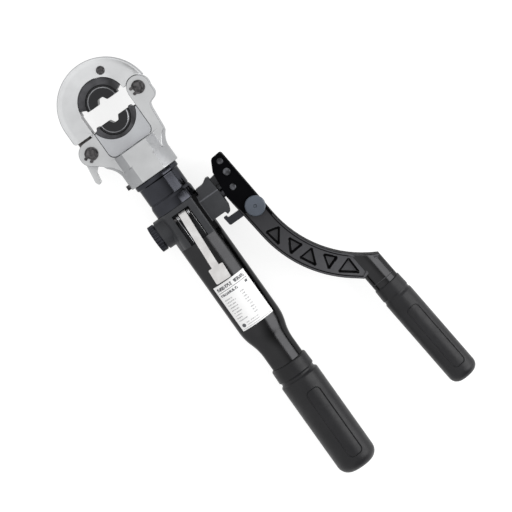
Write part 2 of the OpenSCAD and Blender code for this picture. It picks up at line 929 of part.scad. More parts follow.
module lever_profile() {
    y = lever_pin_at[0];
    z = lever_pin_at[1];
    eye_r = 4.5;
    rise = 6.5;
    reach = y - lever_len;
    knee = y - 12;
    translate([y, z]) circle(eye_r);
    polygon([
        [y, z + eye_r],
        [knee, z + rise + lever_t],
        [reach + tab_side, z + rise + 4.5 + lever_t],
        [reach, z + rise + 6 + lever_t],
        [reach, z + rise + 6],
        [reach + tab_side, z + rise + 4.5],
        [y - lever_press_at - 2.5, z + rise],
        [y - lever_press_at - 2.5, z - 1],
        [y - lever_press_at + 2.5, z - 1],
        [y - lever_press_at + 2.5, z + rise - 2],
        [y - 3, z - 3]
    ]);
}

module release_lever() color("gainsboro") difference() {
    translate([0, lever_pin_at[0], 0]) rotate([0, 0, -lever_lean])
        translate([lever_shift, -lever_pin_at[0], 0]) {
        bar_x(lever_w) lever_profile();
        intersection() {
            bar_x(tab_side) lever_profile();
            translate([0, lever_pin_at[0] - lever_len + tab_side / 2, 0])
                slab(through) polygon(rounded([
                    [-tab_side / 2, -tab_side / 2, 1.5],
                    [tab_side / 2, -tab_side / 2, 1.5],
                    [tab_side / 2, tab_side / 2, 1.5],
                    [-tab_side / 2, tab_side / 2, 1.5]
                ]));
        }
    }
    translate([0, lever_pin_at[0], lever_pin_at[1]]) rod_x(lever_pin_r + run_gap, -through, through);
}

module lever_pin() color("darkgray") translate([0, lever_pin_at[0], lever_pin_at[1]])
    rod_x(lever_pin_r, -15.8, 15.8);

module release_pin() color("darkgray") translate([0, lever_pin_at[0] - lever_press_at, 0])
    rod_z(release_pin_r, 4, lever_pin_at[1] - 1 - slide_gap);

// Coil round the pin and one straight leg down the slot, on the side given by the sign
function lever_spring_path(side) =
    let (
        n = lever_coils * curl_steps,
        x0 = lever_shift + side * (lever_w / 2 + 1.3),
        pitch = side * (lever_wire + 0.5) / curl_steps,
        y = lever_pin_at[0],
        z = lever_pin_at[1]
    )
    concat(
        [for (i = [0:n])
            let (a = 360 * (n - i) / curl_steps - 90)
            [x0 + pitch * i, y + lever_coil_r * cos(a), z + lever_coil_r * sin(a)]],
        [for (d = [4, 16, 32])
            [x0 + pitch * n, y - d, z - lever_coil_r - d * 0.09]]);

module lever_springs() color("gainsboro") {
    echo(lever_spring_gap = wire_gap(lever_spring_path(1), lever_wire, curl_steps - 2));
    for (side = [-1, 1])
        wire_tube(lever_spring_path(side), lever_wire, [1, 0, 0]);
}

// Reservoir and fixed grip

// Waist that swings from the tube to the slim end in two equal arcs
module waist_profile() {
    drop = tube_r - stem_r;
    r = (drop * drop + waist_len * waist_len) / (4 * drop);
    mid = tube_foot - waist_len / 2;
    intersection() {
        translate([tube_r - r, tube_foot]) circle(r, $fn = 360);
        translate([0, mid]) square([tube_r, waist_len / 2]);
    }
    difference() {
        translate([0, stem_top]) square([tube_r - drop / 2, waist_len / 2]);
        translate([stem_r + r, stem_top]) circle(r, $fn = 360);
    }
}

module reservoir_tube() color("#1c1c1e") difference() {
    turned() {
        translate([0, tube_foot]) square([tube_r, tube_len]);
        waist_profile();
        translate([0, grip_foot + 24]) square([stem_r, stem_top - grip_foot - 24]);
    }
    rod_y(tube_r - tube_wall, cavity_foot, 0);
    rod_y(stem_r - tube_wall, -through * 2, cavity_foot - 12);
}

module oil_bladder() color("#2c2c2c") turned() polygon(rounded([
    [0, cavity_foot + 2, 0],
    [tube_r - tube_wall - slide_gap, cavity_foot + 2, 8],
    [tube_r - tube_wall - slide_gap, block_foot - 9, 8],
    [0, block_foot - 9, 0]
]));

module label_plate() color("white")
    translate([0, tube_foot + 0.5, 0]) rotate([-90, 0, 0]) rotate([0, 0, -90 - label_span / 2])
    rotate_extrude(angle = label_span) translate([tube_r + seat_gap, 0]) square([label_t, label_len]);

// Recess of even depth in the front of a round grip of radius r
module grip_panel(r, y, width, length) {
    round_r = 0.3 * width;
    x = width / 2;
    translate([0, y, 0]) rotate([0, grip_panel_turn, 0]) difference() {
        linear_extrude(2 * r) polygon(rounded([
            [-x, -length / 2, round_r],
            [x, -length / 2, round_r],
            [x, length / 2, round_r],
            [-x, length / 2, round_r]
        ]));
        rod_y(r - grip_panel_depth, -length, length);
    }
}

module fixed_grip() color("#38383a") difference() {
    turned() polygon(rounded([
        [0, grip_top, 0],
        [grip_r - 1.6, grip_top, 2],
        [grip_r - 1, grip_top - 16, 1.5],
        [grip_r - 2.6, grip_top - 17, 0],
        [grip_r - 2.6, grip_top - 20, 0],
        [grip_r, grip_top - 22, 0],
        [grip_r, grip_foot, grip_end_r],
        [0, grip_foot, 0]
    ]));
    rod_y(stem_r + seat_gap, grip_foot + 23.8, 0);
    grip_panel(grip_r, (grip_top - 22 + grip_foot) / 2, panel_w, panel_len);
}

// Handle

// Front outline of the arm from the fulcrum, clockwise from the fork's tip
function arm_points() = [
    [-6.5, 20.5, 3],
    [arm_top[0], arm_top[1], 3],
    [arm_bend[0], arm_bend[1], arm_bend_r],
    [arm_tip_right[0], arm_tip_right[1], 0],
    [arm_tip_left[0], arm_tip_left[1], 0],
    [-2, -138.1, 140],
    [-16, -23, 0],
    [-13, 8, 4]
];

// Five pockets that alternate along the arm, from the fulcrum
arm_pockets = [
    [[-4, -78, 2], [13.4, -82, 2], [0, -100.5, 2]],
    [[14, -96.5, 2], [22.5, -113.5, 2], [4, -115, 2]],
    [[10, -122.5, 2], [29, -121, 2], [20.5, -142.5, 2]],
    [[34, -133.5, 2], [46, -146.5, 2], [28.4, -153, 2]],
    [[35, -160, 2], [55, -153, 2], [56, -176, 2]]
];

// Recessed side of the arm below the lock knob, inside its rim
module arm_panel() {
    intersection() {
        polygon(rounded(inset(arm_points(), rim_w), 16));
        translate([-through / 2, knob_at[1] - fulcrum[1] - through]) square([through, through]);
    }
}

// Space on the right of the line from p to q, which leans in below the plane z = 0
module leaning_side(p, q) {
    reach = 60;
    along = q - p;
    translate([p[0], p[1], 0])
        rotate([0, 0, atan2(along[1], along[0])])
        rotate([-atan2(pocket_draft, pocket_depth), 0, 0])
        translate([-reach, -reach, -reach])
        cube([2 * reach, reach, 2 * reach]);
}

// Pocket with sloping walls, sunk from the plane z = 0
module pocket_cut(pts) {
    intersection() {
        translate([0, 0, -pocket_depth]) linear_extrude(pocket_depth + 1) polygon(rounded(pts, 4));
        leaning_side(pts[0], pts[1]);
        leaning_side(pts[1], pts[2]);
        leaning_side(pts[2], pts[0]);
    }
}

// Space below the arm's upper edge
function below_edge() =
    let (far = arm_bend + 2 * (arm_tip_right - arm_bend))
    [
        [arm_top[0], arm_top[1], 0],
        [arm_bend[0], arm_bend[1], arm_bend_r],
        [far[0], far[1], 0],
        [far[0], -through, 0],
        [-through / 2, -through, 0],
        [-through / 2, arm_top[1], 0]
    ];

// Round end of the arm that carries the tube, with a spigot inside it
module arm_socket() {
    intersection() {
        at(arm_end) rotate([0, 0, grip_lean]) rod_y(handle_tube_r, -socket_len, 60);
        at(fulcrum) slab(through) polygon(rounded(inset(below_edge(), socket_step), 16));
    }
    at(arm_end) rotate([0, 0, grip_lean]) rod_y(handle_tube_r - 3.5, -socket_len - 30, -socket_len + 1);
}

module handle_arm() color("#2c2c2f") difference() {
    union() {
        difference() {
            at(fulcrum) slab(arm_t) polygon(rounded(arm_points(), 16));
            for (side = [0, 1])
                mirror([0, 0, side]) at(fulcrum) translate([0, 0, arm_t / 2 - panel_depth]) {
                    linear_extrude(panel_depth + 1) arm_panel();
                    for (pocket = arm_pockets)
                        pocket_cut(pocket);
                }
        }
        arm_socket();
    }
    at(fulcrum) slab(slot_t) translate([-through / 2, -fork_len]) square([through, through]);
    at(fulcrum) rod_z(fulcrum_r + seat_gap, -through, through);
    at(plunger_pin_at) rod_z(plunger_pin_r + seat_gap, -through, through);
    at(rivet_at) rod_z(rivet_r + seat_gap, -through, through);
    at(knob_at) rod_z(spindle_r + run_gap, -through, through);
}

// Cross pin through both cheeks, with bevelled ends a little proud of them
module cheek_pin(r) {
    half = arm_t / 2 + 0.8;
    rotate_extrude() polygon([
        [0, -half],
        [r - 0.6, -half],
        [r, -half + 0.6],
        [r, half - 0.6],
        [r - 0.6, half],
        [0, half]
    ]);
}

module fulcrum_pin() color("gray") at(fulcrum) cheek_pin(fulcrum_r);

module plunger_pin() color("gray") at(plunger_pin_at) cheek_pin(plunger_pin_r);

module fork_rivet() color("gray") at(rivet_at) cheek_pin(rivet_r);

module handle_tube() color("#1c1c1e") at(arm_end) rotate([0, 0, grip_lean]) difference() {
    rod_y(handle_tube_r, -grip_start - handle_grip_len + 12, -socket_len - seat_gap);
    rod_y(handle_tube_r - 3.5 + seat_gap, -through, 0);
}

module handle_grip() color("#38383a") at(arm_end) rotate([0, 0, grip_lean]) difference() {
    turned() polygon(rounded([
        [0, -grip_start, 0],
        [handle_grip_r - 1, -grip_start, 1.5],
        [handle_grip_r - 0.4, -grip_start - 15, 1],
        [handle_grip_r - 1.2, -grip_start - 16, 0],
        [handle_grip_r - 1.2, -grip_start - 18.5, 0],
        [handle_grip_r, -grip_start - 20, 0],
        [handle_grip_r, -grip_start - handle_grip_len, 10],
        [0, -grip_start - handle_grip_len, 0]
    ]));
    rod_y(handle_tube_r + seat_gap, -grip_start - handle_grip_len + 11.8, through);
    grip_panel(handle_grip_r, -grip_start - (20 + handle_grip_len) / 2, handle_panel_w, handle_panel_len);
}

// Handle lock

module lock_hook() color("#303033") at(knob_at) {
    hook_t = 9;
    lip_x = beak_x - 2 - knob_at[0];
    slab(hook_t) polygon(rounded([
        [lip_x - 4, 8.7, 1],
        [lip_x, 8.7, 1],
        [lip_x + 0.5, 5.8, 1],
        [0, 5.8, 0],
        [0, -2.6, 0],
        [lip_x - 2.6, -2.6, 2]
    ]));
    rod_z(8.5, -tongue_t / 2, tongue_t / 2);
    rod_z(spindle_r, -arm_t / 2 - 0.5, arm_t / 2 + 0.3);
}

module lock_knob() color("slategray") at(knob_at) difference() {
    rotate_extrude() polygon([
        [0, arm_t / 2 + 0.3],
        [knob_r, arm_t / 2 + 0.3],
        [knob_r, arm_t / 2 + 2.8],
        [knob_r - 1.2, arm_t / 2 + 4],
        [0, arm_t / 2 + 4]
    ]);
    rod_z(knob_r / 7, arm_t / 2 + 3.5, through);
}

head_yoke();
hinge_pin();
latch_pin();
pin_clips();
swivel_screw();
upper_jaw();
catch_pin();
upper_adapter();
upper_die();
die_button();
latch();
ram();
piston_seal();
ram_spring();
die_holder();
lower_adapter();
lower_die();
ram_cylinder();
ram_bush();
valve_block();
relief_cap();
pump_gland();
plunger_seal();
pump_plunger();
release_lever();
lever_pin();
lever_springs();
release_pin();
reservoir_tube();
oil_bladder();
label_plate();
fixed_grip();
handle_arm();
fulcrum_pin();
plunger_pin();
fork_rivet();
handle_tube();
handle_grip();
lock_hook();
lock_knob();
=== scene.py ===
import functools
import json
import math

import bmesh
import bpy
import numpy
from mathutils import Matrix, Vector
from mathutils.bvhtree import BVHTree

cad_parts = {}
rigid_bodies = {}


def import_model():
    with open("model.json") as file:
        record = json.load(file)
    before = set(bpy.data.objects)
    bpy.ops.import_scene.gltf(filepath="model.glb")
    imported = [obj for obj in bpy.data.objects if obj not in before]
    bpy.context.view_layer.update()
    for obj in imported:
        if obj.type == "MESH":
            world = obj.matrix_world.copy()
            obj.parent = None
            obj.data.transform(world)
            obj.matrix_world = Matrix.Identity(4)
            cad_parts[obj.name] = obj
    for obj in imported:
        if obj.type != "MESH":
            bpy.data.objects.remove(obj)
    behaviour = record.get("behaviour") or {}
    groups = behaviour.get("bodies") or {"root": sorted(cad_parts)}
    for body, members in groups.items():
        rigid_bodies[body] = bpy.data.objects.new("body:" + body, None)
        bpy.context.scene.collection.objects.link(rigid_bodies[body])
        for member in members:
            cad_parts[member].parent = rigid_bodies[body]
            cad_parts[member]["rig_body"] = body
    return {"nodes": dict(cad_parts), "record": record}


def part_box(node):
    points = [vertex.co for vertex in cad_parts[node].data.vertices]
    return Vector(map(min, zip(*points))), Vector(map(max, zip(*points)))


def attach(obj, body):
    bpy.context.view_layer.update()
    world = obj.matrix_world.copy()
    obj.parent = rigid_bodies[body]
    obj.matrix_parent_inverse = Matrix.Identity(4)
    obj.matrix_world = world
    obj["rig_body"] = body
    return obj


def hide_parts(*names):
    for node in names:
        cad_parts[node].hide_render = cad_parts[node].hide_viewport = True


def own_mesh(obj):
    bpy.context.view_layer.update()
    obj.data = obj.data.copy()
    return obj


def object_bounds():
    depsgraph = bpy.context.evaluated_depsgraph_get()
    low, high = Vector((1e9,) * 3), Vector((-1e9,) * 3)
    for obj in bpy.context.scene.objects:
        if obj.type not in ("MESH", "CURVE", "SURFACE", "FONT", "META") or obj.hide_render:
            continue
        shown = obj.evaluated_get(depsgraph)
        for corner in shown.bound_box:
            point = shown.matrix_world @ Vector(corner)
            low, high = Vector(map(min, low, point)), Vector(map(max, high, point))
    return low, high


# Finishes, eased edges, springs and a studio for the crimping tool. All sizes are in metres.

MM = 0.001
WHITE = (1, 1, 1, 1)
EVEN = (1, 1, 1)

for leftover in list(bpy.data.objects):
    bpy.data.objects.remove(leftover)

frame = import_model()
cad_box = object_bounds()
nodes = frame["nodes"]
slot_of = {row["node"]: row["material_slot"] for row in frame["record"]["subparts"]}


def middle(node):
    """Centre of a node's box."""
    low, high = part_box(node)
    return (low + high) / 2


def placed(name, data):
    """A new object in the scene."""
    obj = bpy.data.objects.new(name, data)
    bpy.context.scene.collection.objects.link(obj)
    return obj


# Materials

EDGE_SHEEN = (0.6, 0.6, 0.6, 1)
NOISE_SPAN = (0.3, 0.7)
DRIFT_SPAN = (0.35, 0.65)
RANGE_SOCKETS = ("From Min", "From Max", "To Min", "To Max")


def tone(*screen):
    """Linear colour of a screen colour given as three values from 0 to 255."""
    def linear(value):
        value /= 255
        return value / 12.92 if value <= 0.04045 else ((value + 0.055) / 1.055) ** 2.4
    return (*map(linear, screen), 1)


class Graph:
    """Short calls that build a node tree."""

    def __init__(self, tree):
        self.tree = tree

    def add(self, kind):
        return self.tree.nodes.new(kind)

    def join(self, source, target):
        self.tree.links.new(source, target)

    def math(self, kind, *values):
        node = self.add("ShaderNodeMath")
        node.operation = kind
        for socket, value in zip(node.inputs, values):
            if isinstance(value, (int, float)):
                socket.default_value = value
            else:
                self.join(value, socket)
        return node.outputs["Value"]

    def between(self, value, span, result, kind="LINEAR"):
        """Passes through result, from first to last, while value crosses span."""
        node = self.add("ShaderNodeMapRange")
        node.interpolation_type = kind
        for socket, number in zip(RANGE_SOCKETS, (*span, *result)):
            node.inputs[socket].default_value = number
        self.join(value, node.inputs["Value"])
        return node.outputs["Result"]


class Surface(Graph):
    """A material whose grain, colour drift and bump come from noise in the object's own frame."""

    def __init__(self, name, metallic=0.0, specular=0.5, edge=WHITE):
        self.material = bpy.data.materials.new(name)
        self.material.use_nodes = True
        super().__init__(self.material.node_tree)
        self.tree.nodes.clear()
        out = self.add("ShaderNodeOutputMaterial")
        self.shader = self.add("ShaderNodeBsdfPrincipled")
        self.join(self.shader.outputs["BSDF"], out.inputs["Surface"])
        self.shader.inputs["Metallic"].default_value = metallic
        self.shader.inputs["Specular IOR Level"].default_value = specular
        self.shader.inputs["Specular Tint"].default_value = edge
        self.place = self.add("ShaderNodeTexCoord").outputs["Object"]

    def axis(self, letter):
        """The shaded point's X, Y or Z in metres."""
        node = self.add("ShaderNodeSeparateXYZ")
        self.join(self.place, node.inputs["Vector"])
        return node.outputs[letter]

    def distance(self, first, second):
        """Length of a flat vector from its two parts."""
        squares = [self.math("MULTIPLY", part, part) for part in (first, second)]
        return self.math("SQRT", self.math("ADD", *squares))

    def noise(self, scale, detail=3, stretch=EVEN):
        spread = self.add("ShaderNodeMapping")
        spread.inputs["Scale"].default_value = stretch
        self.join(self.place, spread.inputs["Vector"])
        texture = self.add("ShaderNodeTexNoise")
        texture.inputs["Scale"].default_value = scale
        texture.inputs["Detail"].default_value = detail
        self.join(spread.outputs["Vector"], texture.inputs["Vector"])
        return texture.outputs["Fac"]

    def vary(self, low, high, scale, detail=3, stretch=EVEN):
        """Noise that wanders between low and high."""
        return self.between(self.noise(scale, detail, stretch), NOISE_SPAN, (low, high))

    def tint(self, value, stops):
        """Colours the surface by value, through stops of a place and a screen colour."""
        ramp = self.add("ShaderNodeValToRGB")
        keys = ramp.color_ramp.elements
        while len(keys) < len(stops):
            keys.new(0.5)
        for key, (at, screen) in zip(keys, stops):
            key.position = at
            key.color = tone(*screen)
        self.join(value, ramp.inputs["Fac"])
        self.join(ramp.outputs["Color"], self.shader.inputs["Base Color"])

    def drift(self, dark, light, scale):
        """Colour that drifts between two screen colours."""
        self.tint(self.noise(scale, detail=4), list(zip(DRIFT_SPAN, (dark, light))))

    def roughness(self, low, high, scale, stretch=EVEN):
        rough = self.vary(low, high, scale, stretch=stretch)
        self.join(rough, self.shader.inputs["Roughness"])

    def bump(self, scale, strength, depth_mm, stretch=EVEN):
        node = self.add("ShaderNodeBump")
        node.inputs["Strength"].default_value = strength
        node.inputs["Distance"].default_value = depth_mm * MM
        self.join(self.noise(scale, detail=2, stretch=stretch), node.inputs["Height"])
        self.join(node.outputs["Normal"], self.shader.inputs["Normal"])


def metal(name, dark, light, rough, grain, metallic=0.85, stretch=EVEN, drift=28):
    surface = Surface(name, metallic=metallic)
    surface.drift(dark, light, scale=drift)
    surface.roughness(rough - 0.05, rough + 0.06, scale=160, stretch=stretch)
    surface.bump(grain, strength=0.25, depth_mm=0.02, stretch=stretch)
    return surface.material


def lacquer(name, dark, light, rough, grain):
    """Smooth black coat whose sheen is even from the middle to near the edge."""
    surface = Surface(name, metallic=1.0, edge=EDGE_SHEEN)
    surface.drift(dark, light, scale=35)
    surface.roughness(rough - 0.03, rough + 0.03, scale=120)
    surface.bump(grain, strength=0.05, depth_mm=0.02)
    return surface.material


def paint(name, dark, light, rough, grain, strength, depth_mm, specular=0.5):
    surface = Surface(name, specular=specular)
    surface.drift(dark, light, scale=35)
    surface.roughness(rough - 0.05, rough + 0.06, scale=120)
    surface.bump(grain, strength, depth_mm)
    return surface.material


METALS = {
    "satin_steel": dict(
        dark=(189, 190, 191), light=(202, 203, 204), rough=0.35, grain=1800, metallic=0.8,
    ),
    "jaw_steel": dict(
        dark=(204, 205, 206), light=(220, 221, 222), rough=0.35, grain=1800, metallic=0.8,
    ),
    # Darker copy of the head's steel: painted shade on its flanks and rim
    "flank_shade_steel": dict(
        dark=(150, 151, 153), light=(164, 165, 167), rough=0.42, grain=1300, metallic=0.8,
    ),
    "holder_steel": dict(
        dark=(179, 180, 183), light=(190, 192, 195), rough=0.34, grain=1600, stretch=(1, 6, 1),
    ),
    "ground_steel": dict(
        dark=(196, 197, 199), light=(212, 213, 215), rough=0.22, grain=1500, metallic=0.95,
        stretch=(1, 8, 1),
    ),
    "bright_plate": dict(
        dark=(202, 200, 199), light=(218, 217, 216), rough=0.4, grain=1500, metallic=0.5,
        stretch=(6, 1, 1), drift=90,
    ),
    "black_oxide": dict(
        dark=(46, 46, 48), light=(78, 78, 81), rough=0.4, grain=1500, metallic=0.6, drift=70,
    ),
    "dark_pin": dict(
        dark=(44, 43, 44), light=(96, 94, 95), rough=0.42, grain=1300, metallic=0.7, drift=260,
    ),
    "pin_steel": dict(
        dark=(40, 40, 43), light=(98, 99, 104), rough=0.38, grain=1200, metallic=0.7, drift=230,
    ),
    "bronze": dict(dark=(170, 128, 76), light=(190, 148, 92), rough=0.35, grain=1200),
}
LACQUERS = {
    "satin_black": dict(dark=(52, 53, 57), light=(58, 59, 64), rough=0.3, grain=1400),
    "neck_black": dict(dark=(52, 53, 57), light=(58, 59, 64), rough=0.14, grain=1400),
    "gloss_black": dict(dark=(49, 49, 50), light=(53, 53, 54), rough=0.2, grain=500),
}
PAINTS = {
    "seal_rubber": dict(
        dark=(24, 24, 25), light=(32, 32, 33), rough=0.6, grain=900, strength=0.3, depth_mm=0.04,
    ),
    "black_alloy": dict(
        dark=(36, 37, 39), light=(46, 47, 49), rough=0.45, grain=1100, strength=0.3, depth_mm=0.04,
        specular=0.3,
    ),
    "blue_grey": dict(
        dark=(64, 71, 81), light=(73, 80, 91), rough=0.48, grain=1200, strength=0.2, depth_mm=0.03,
    ),
    "grip_rubber": dict(
        dark=(23, 23, 25), light=(30, 30, 32), rough=0.42, grain=1600, strength=0.5, depth_mm=0.06,
        specular=0.25,
    ),
    # Near-black with little gloss: painted shade on the fork's face
    "fork_painted_shade": dict(
        dark=(3, 3, 5), light=(7, 7, 9), rough=0.5, grain=1100, strength=0.25, depth_mm=0.03,
        specular=0.02,
    ),
    # Near-black: painted shade on walls and flanks where little light falls
    "wall_painted_shade": dict(
        dark=(10, 10, 11), light=(14, 14, 15), rough=0.6, grain=1100, strength=0.25, depth_mm=0.03,
        specular=0.05,
    ),
}
DIE_RING = 16.2 * MM
DIE_RING_W = 0.55 * MM
GAP_SHADE_FROM = 6 * MM
GAP_SHADE_TO = 12 * MM
CREST_W = 1.7 * MM
CREST_DROP = 10.8 * MM
CREST_INSET = 3 * MM
LABEL_ROWS = 17
LABEL_EDGES = (0.05, 0.95)
LABEL_FOOT = (0.22, 0.62)
PALE_INK = 0.55


def highlit_die(name, centre_y):
    """Black die with a pale thin ring on its chamfer, a painted highlight where the chamfer
    catches the light.
    """
    surface = Surface(name, metallic=0.6)
    off_y = surface.math("SUBTRACT", surface.axis("Y"), centre_y)
    away = surface.distance(surface.axis("X"), off_y)
    # Painted highlight: the ring's pale colour stands for light caught by the chamfer
    ring = surface.math("COMPARE", away, DIE_RING, DIE_RING_W)
    glint = surface.math("MULTIPLY", ring, surface.vary(0.45, 1.0, scale=90))
    surface.tint(glint, [(0.0, (40, 40, 42)), (1.0, (176, 177, 180))])
    surface.roughness(0.32, 0.44, scale=160)
    surface.bump(1500, strength=0.25, depth_mm=0.02)
    return surface.material


def shade_along(surface, from_y, to_y, first, last):
    """Lets the colour pass from first to last along Y, with a little drift."""
    along = surface.between(surface.axis("Y"), (from_y, to_y), (0.0, 1.0))
    passed = surface.math("MULTIPLY", along, surface.vary(0.8, 1.0, scale=300))
    surface.tint(passed, [(0.0, first), (1.0, last)])


def gap_shaded_steel(name, pin_y):
    """Satin steel that darkens beyond its pin: painted shade for the narrow gap that the hook sits
    in.
    """
    surface = Surface(name, metallic=0.8)
    # Painted shade: dark brown beyond the pin, where the hook lies in a deep gap
    shade_along(surface, pin_y + GAP_SHADE_FROM, pin_y + GAP_SHADE_TO, (200, 201, 202), (62, 56, 52))
    surface.roughness(0.36, 0.48, scale=160)
    surface.bump(1800, strength=0.25, depth_mm=0.02)
    return surface.material


def sheen_painted_alloy(name, from_y, to_y):
    """Black alloy painted paler towards the hand: a painted sheen where the arm's face catches
    more light.
    """
    surface = Surface(name, specular=0.3)
    # Painted sheen: the colour grows paler along Y towards the grip
    shade_along(surface, from_y, to_y, (38, 38, 41), (86, 86, 89))
    surface.roughness(0.4, 0.5, scale=120)
    surface.bump(1100, strength=0.3, depth_mm=0.04)
    return surface.material


def crest_lit_alloy(name, crest_y, from_x):
    """Black cast alloy with a paler line along the crest of the pump housing, a painted highlight
    on the crest.
    """
    surface = Surface(name, specular=0.3)
    off = surface.math("ABSOLUTE", surface.math("SUBTRACT", surface.axis("Y"), crest_y))
    near = surface.between(off, (0.0, CREST_W), (1.0, 0.0), "SMOOTHSTEP")
    beyond = surface.math("GREATER_THAN", surface.axis("X"), from_x)
    crest = surface.math("MULTIPLY", near, beyond)
    # Painted highlight along the crest, while the coat's own tone drifts at random
    glint = surface.math("MULTIPLY", crest, surface.vary(0.6, 1.0, scale=300))
    coat = surface.vary(0.0, 0.3, scale=35, detail=4)
    surface.tint(
        surface.math("MAXIMUM", coat, glint),
        [(0.0, (41, 42, 45)), (0.3, (53, 54, 57)), (1.0, (98, 99, 104))],
    )
    surface.roughness(0.4, 0.51, scale=120)
    surface.bump(1100, strength=0.3, depth_mm=0.04)
    return surface.material


def printed_label(name, low, high):
    """White plate with a header, ruled rows of short bars in two columns and a plain disc.

    Rows are shares of its height, from the top, and columns are shares of its width.
    """
    surface = Surface(name, specular=0.1)
    wide, tall = high.x - low.x, high.y - low.y
    across = surface.math("DIVIDE", surface.math("SUBTRACT", surface.axis("X"), low.x), wide)
    down = surface.math("DIVIDE", surface.math("SUBTRACT", high.y, surface.axis("Y")), tall)

    def both(first, second):
        return surface.math("MULTIPLY", first, second)

    def either(first, second):
        return surface.math("MAXIMUM", first, second)

    def within(value, first, last):
        past = surface.math("GREATER_THAN", value, first)
        return both(past, surface.math("LESS_THAN", value, last))

    def field(rows, *columns):
        marked = functools.reduce(either, [within(across, *column) for column in columns])
        return both(within(down, *rows), marked)

    def disc(column, row, radius):
        off_across = surface.math("MULTIPLY", surface.math("SUBTRACT", across, column), wide)
        off_down = surface.math("MULTIPLY", surface.math("SUBTRACT", down, row), tall)
        return surface.math("LESS_THAN", surface.distance(off_across, off_down), radius * wide)

    header = field((0.05, 0.12), (0.06, 0.52), (0.6, 0.92))
    title = field((0.19, 0.24), (0.06, 0.6), (0.84, 0.92))
    rules = either(field((0.148, 0.158), LABEL_EDGES), field((0.97, 0.976), LABEL_EDGES))
    foot = either(field((0.87, 0.89), LABEL_FOOT), field((0.92, 0.935), LABEL_FOOT))

    rows = surface.math("MULTIPLY", down, LABEL_ROWS)
    length = surface.add("ShaderNodeTexWhiteNoise")
    length.noise_dimensions = "1D"
    surface.join(surface.math("FLOOR", rows), length.inputs["W"])
    reach = surface.math("MULTIPLY_ADD", length.outputs["Value"], 0.16, 0.22)
    bar = within(surface.math("FRACT", rows), 0.28, 0.7)
    table = both(bar, field((0.295, 0.82), (0.07, reach), (0.58, 0.7)))

    broken = surface.math("GREATER_THAN", surface.noise(1500, 0, stretch=(1, 0.25, 1)), 0.4)
    dark = either(both(either(header, title), broken), either(rules, disc(0.12, 0.905, 0.055)))
    pale = surface.math("MULTIPLY", both(either(foot, table), broken), PALE_INK)
    surface.tint(either(dark, pale), [(0.0, (240, 240, 240)), (1.0, (96, 97, 100))])
    surface.roughness(0.32, 0.42, scale=200)
    surface.bump(700, strength=0.1, depth_mm=0.01)
    return surface.material


materials = {
    name: make(name, **finish)
    for make, finishes in ((metal, METALS), (lacquer, LACQUERS), (paint, PAINTS))
    for name, finish in finishes.items()
}
materials["label"] = printed_label("label", *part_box("label_plate"))

own_material = {
    # The dies get painted highlight rings, the latch painted shade, the block a painted crest
    # highlight and the arm a painted sheen
    "upper_die": highlit_die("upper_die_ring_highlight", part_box("upper_die")[0].y),
    "lower_die": highlit_die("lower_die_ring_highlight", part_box("lower_die")[1].y),
    "latch": gap_shaded_steel("latch_gap_shade_steel", middle("latch_pin").y),
    "valve_block": crest_lit_alloy(
        "block_crest_highlight",
        crest_y=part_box("ram_cylinder")[0].y - CREST_DROP,
        from_x=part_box("reservoir_tube")[1].x - CREST_INSET,
    ),
    "upper_jaw": materials["jaw_steel"],
    "ram_cylinder": materials["neck_black"],
    "handle_arm": sheen_painted_alloy(
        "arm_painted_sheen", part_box("lock_knob")[0].y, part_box("handle_arm")[0].y
    ),
}


# Pieces

SHARP = math.radians(32)
FLAT = math.radians(0.5)
ANY_SHAPE = math.radians(180)
WELD = 0.002 * MM
STRAY = 0.45  # of the width of the rounding
EASED_MM = {
    "head_yoke": 0.6, "upper_jaw": 0.6, "die_holder": 0.3, "latch": 0.8,
    "upper_adapter": 0.8, "lower_adapter": 0.8, "upper_die": 0.6, "lower_die": 0.6,
    "valve_block": 0.7, "handle_arm": 0.6, "lock_hook": 0.5, "release_lever": 0.3,
    "relief_cap": 0.4, "lock_knob": 0.7, "fixed_grip": 0.9, "handle_grip": 0.9,
    "ram_cylinder": 0.5, "handle_tube": 0.3, "oil_bladder": 0.5, "piston_seal": 0.5,
    "plunger_seal": 0.5,
}


def show(piece, node):
    """Gives the piece the material of a node: its own, or else its slot's."""
    piece.data.materials.clear()
    piece.data.materials.append(own_material.get(node) or materials[slot_of[node]])


def smooth_mesh(name, bm):
    """The mesh of bm, shaded smooth except across sharp edges."""
    for face in bm.faces:
        face.smooth = True
    for edge in bm.edges:
        edge.smooth = len(edge.link_faces) == 2 and edge.calc_face_angle() < SHARP
    mesh = bpy.data.meshes.new(name)
    bm.to_mesh(mesh)
    bm.free()
    return mesh


def stand_in(name, mesh, node):
    """A piece that rides and is finished as the CAD node it stands for."""
    piece = placed(name, mesh)
    show(piece, node)
    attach(piece, nodes[node]["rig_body"])
    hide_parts(node)
    return piece


def eased(node, width):
    """The node's own shape with its sharp edges rounded off.

    A point that the rounding threw away from the shape goes back to it.
    """
    bm = bmesh.new()
    bm.from_mesh(nodes[node].data)
    bmesh.ops.remove_doubles(bm, verts=bm.verts, dist=WELD)
    sharp_shape = BVHTree.FromBMesh(bm)
    bmesh.ops.join_triangles(
        bm, faces=bm.faces, angle_face_threshold=FLAT, angle_shape_threshold=ANY_SHAPE
    )
    corners = [
        edge for edge in bm.edges
        if len(edge.link_faces) == 2 and edge.calc_face_angle() > SHARP
    ]
    bmesh.ops.bevel(
        bm, geom=corners, offset=width, offset_type="OFFSET", segments=2, profile=0.5,
        affect="EDGES", clamp_overlap=False,
    )
    for vert in bm.verts:
        nearest, _, _, away = sharp_shape.find_nearest(vert.co)
        if away > STRAY * width:
            vert.co = nearest
    name = node + "_eased"
    piece = stand_in(name, smooth_mesh(name, bm), node)
    piece.modifiers.new("normals", "WEIGHTED_NORMAL").keep_sharp = True
    return piece


